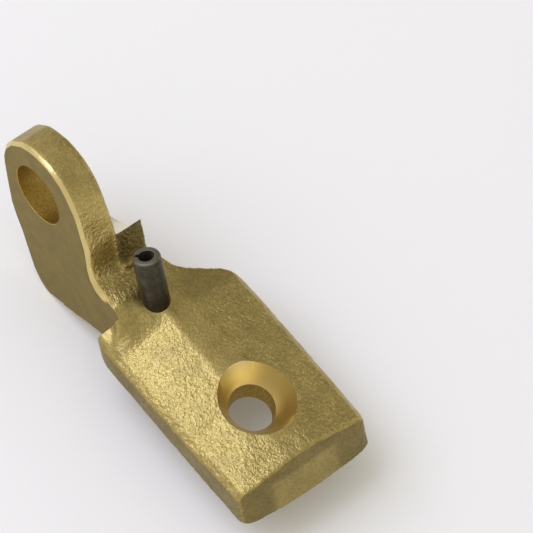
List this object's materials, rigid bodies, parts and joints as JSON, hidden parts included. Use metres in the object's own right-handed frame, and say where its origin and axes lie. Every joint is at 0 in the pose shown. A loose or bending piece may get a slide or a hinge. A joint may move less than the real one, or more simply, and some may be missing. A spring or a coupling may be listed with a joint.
{
  "type": "door hinge half",
  "caption": "Cast brass hinge leaf with a crowned, countersunk pad, an upright eye lug and a slotted spring pin standing in its neck.",
  "frame": {"origin": "centre of the screw hole on the pad's mounting face", "axes": "+Z out of the mounting face along the screw hole, +X towards the pad's free end, Y along the eye; the lug stands at -X and its ground face looks along -Y"},
  "size_m": [0.0729, 0.027, 0.035],
  "materials": {
    "cast_brass": "sand-cast brass, ground on the lug, machined in the countersink and the scoop",
    "pin_steel": "dark oiled spring steel"
  },
  "bodies": {
    "root": {"hinge_casting": "cast_brass", "spring_pin": "pin_steel"}
  },
  "joints": []
}
